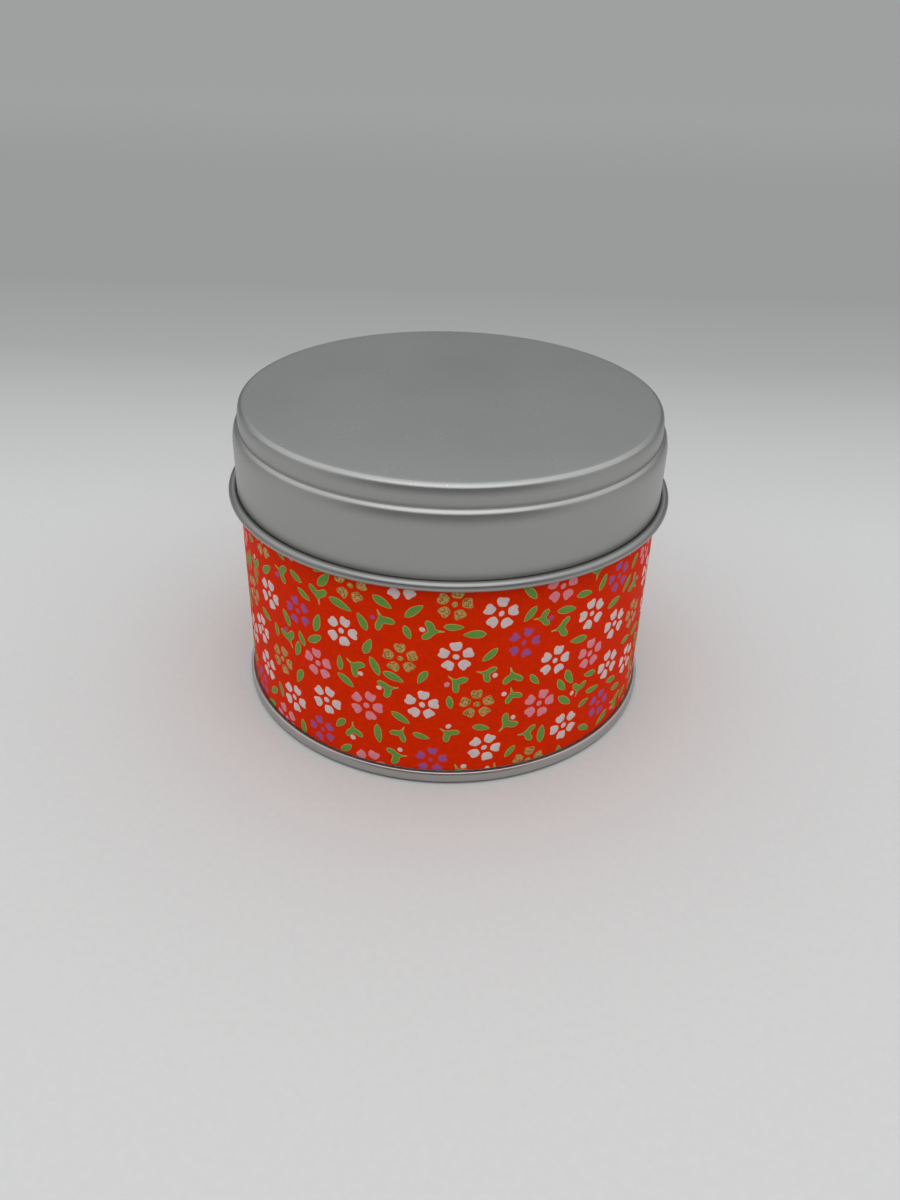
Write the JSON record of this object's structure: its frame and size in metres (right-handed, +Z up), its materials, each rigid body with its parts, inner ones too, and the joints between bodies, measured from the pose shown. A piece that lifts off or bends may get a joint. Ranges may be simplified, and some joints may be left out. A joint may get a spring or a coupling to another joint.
{
  "type": "tea caddy",
  "caption": "Low round tinplate tea caddy: stepped slip lid with a rolled edge, inner lid with a knob, double-seamed bottom and a wrap of printed floral paper.",
  "frame": {"origin": "centre of the circle that the tin stands on, at the bottom of the seam", "axes": "+Z up along the tin's axis, which is the axis of every turned piece and the way both lids lift; -Y is the front, and the lap of the paper is at the back, +Y"},
  "size_m": [0.084, 0.084, 0.059],
  "materials": {
    "lid_steel": "satin silver tinplate with a fine sparkle",
    "seam_steel": "satin silver tinplate",
    "tinplate": "bright plain tinplate",
    "knob_aluminium": "fine turned",
    "rivet_aluminium": "plain, pressed head",
    "sealing_compound": "matte",
    "printed_paper": "matte vermilion paper with small printed blossoms and leaves"
  },
  "bodies": {
    "tin": {"body_shell": "tinplate", "bottom_end": "seam_steel", "seam_compound": "sealing_compound", "paper_wrap": "printed_paper"},
    "inner_closure": {"inner_lid": "tinplate", "inner_lid_knob": "knob_aluminium", "knob_rivet": "rivet_aluminium"},
    "outer_lid": {"lid": "lid_steel"}
  },
  "joints": [
    {"name": "inner_lid_lift", "type": "slide", "parent": "tin", "child": "inner_closure", "axis": [0, 0, 1], "range_m": [0, 0.03]},
    {"name": "lid_lift", "type": "slide", "parent": "inner_closure", "child": "outer_lid", "axis": [0, 0, 1], "range_m": [0, 0.04]}
  ]
}
